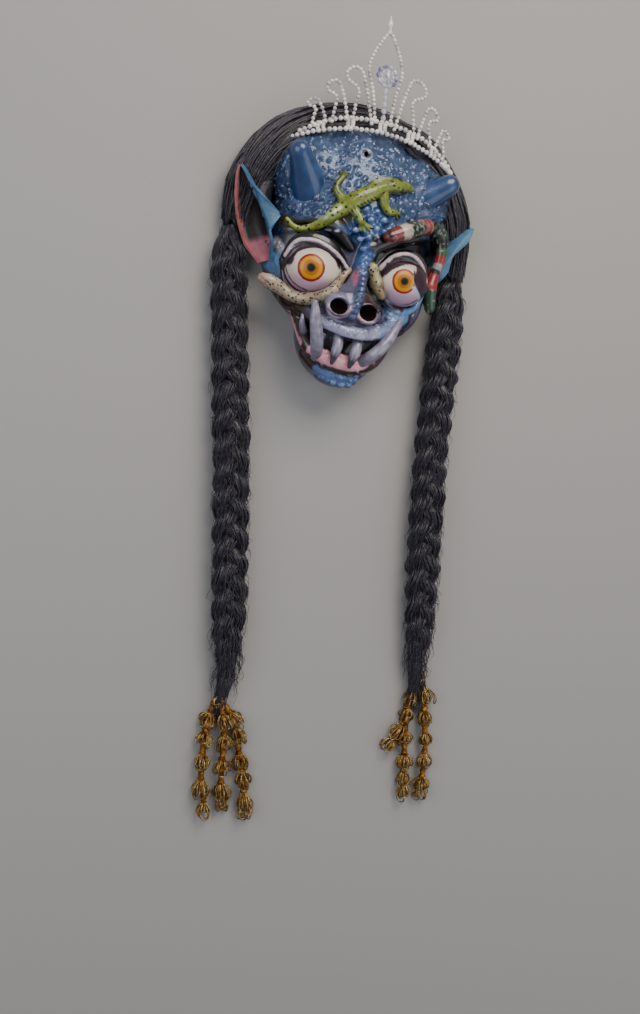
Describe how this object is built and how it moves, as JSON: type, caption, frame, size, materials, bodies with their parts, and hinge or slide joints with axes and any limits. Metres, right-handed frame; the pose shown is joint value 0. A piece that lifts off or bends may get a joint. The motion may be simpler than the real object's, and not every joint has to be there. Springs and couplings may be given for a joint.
{
  "type": "diablada mask",
  "caption": "Wearable devil face shell with bulging eyes, horns, pointed ears, modelled reptiles and fangs, a beaded comb tiara, wig and long tasselled plaits, lying on its back.",
  "frame": {"origin": "middle of the bottom of the whole object's box, with the mask lying on its back", "axes": "+Z out of the face, away from the wearer; +Y towards the crown and tiara, along the plaits; +X to the viewer's right"},
  "size_m": [0.3655, 0.8974, 0.0969],
  "materials": {
    "blue_enamel": "metallic blue enamel over droplets of paste on papier-mache, glossy",
    "eye_enamel": "gloss enamel, cream white with an orange iris, lacquered",
    "lizard_enamel": "yellow-green gloss enamel with black spots",
    "spotted_enamel": "beige enamel with black dots, satin",
    "coral_enamel": "red, white, green and black bands of gloss enamel",
    "tooth_enamel": "lavender-grey gloss enamel",
    "pearl_beads": "pearl lacquer on beads threaded on wire",
    "crystal_beads": "clear and pale violet crystal",
    "black_hair": "black wig hair, slightly fuzzy",
    "gold_thread": "dark gold metallic thread, twisted and looped"
  },
  "bodies": {
    "root": {"mask_shell": "blue_enamel", "left_horn": "blue_enamel", "right_horn": "blue_enamel", "left_ear": "blue_enamel", "right_ear": "blue_enamel", "left_eye": "eye_enamel", "right_eye": "eye_enamel", "lizard": "lizard_enamel", "spotted_snake": "spotted_enamel", "spotted_snake_tail": "spotted_enamel", "coral_snake": "coral_enamel", "left_tusk": "tooth_enamel", "right_tusk": "tooth_enamel", "left_fang": "tooth_enamel", "right_fang": "tooth_enamel", "left_side_tooth": "tooth_enamel", "tiara": "pearl_beads", "tiara_pendant": "crystal_beads", "wig": "black_hair", "left_braid": "black_hair", "right_braid": "black_hair", "left_tassel": "gold_thread", "right_tassel": "gold_thread"}
  },
  "joints": []
}
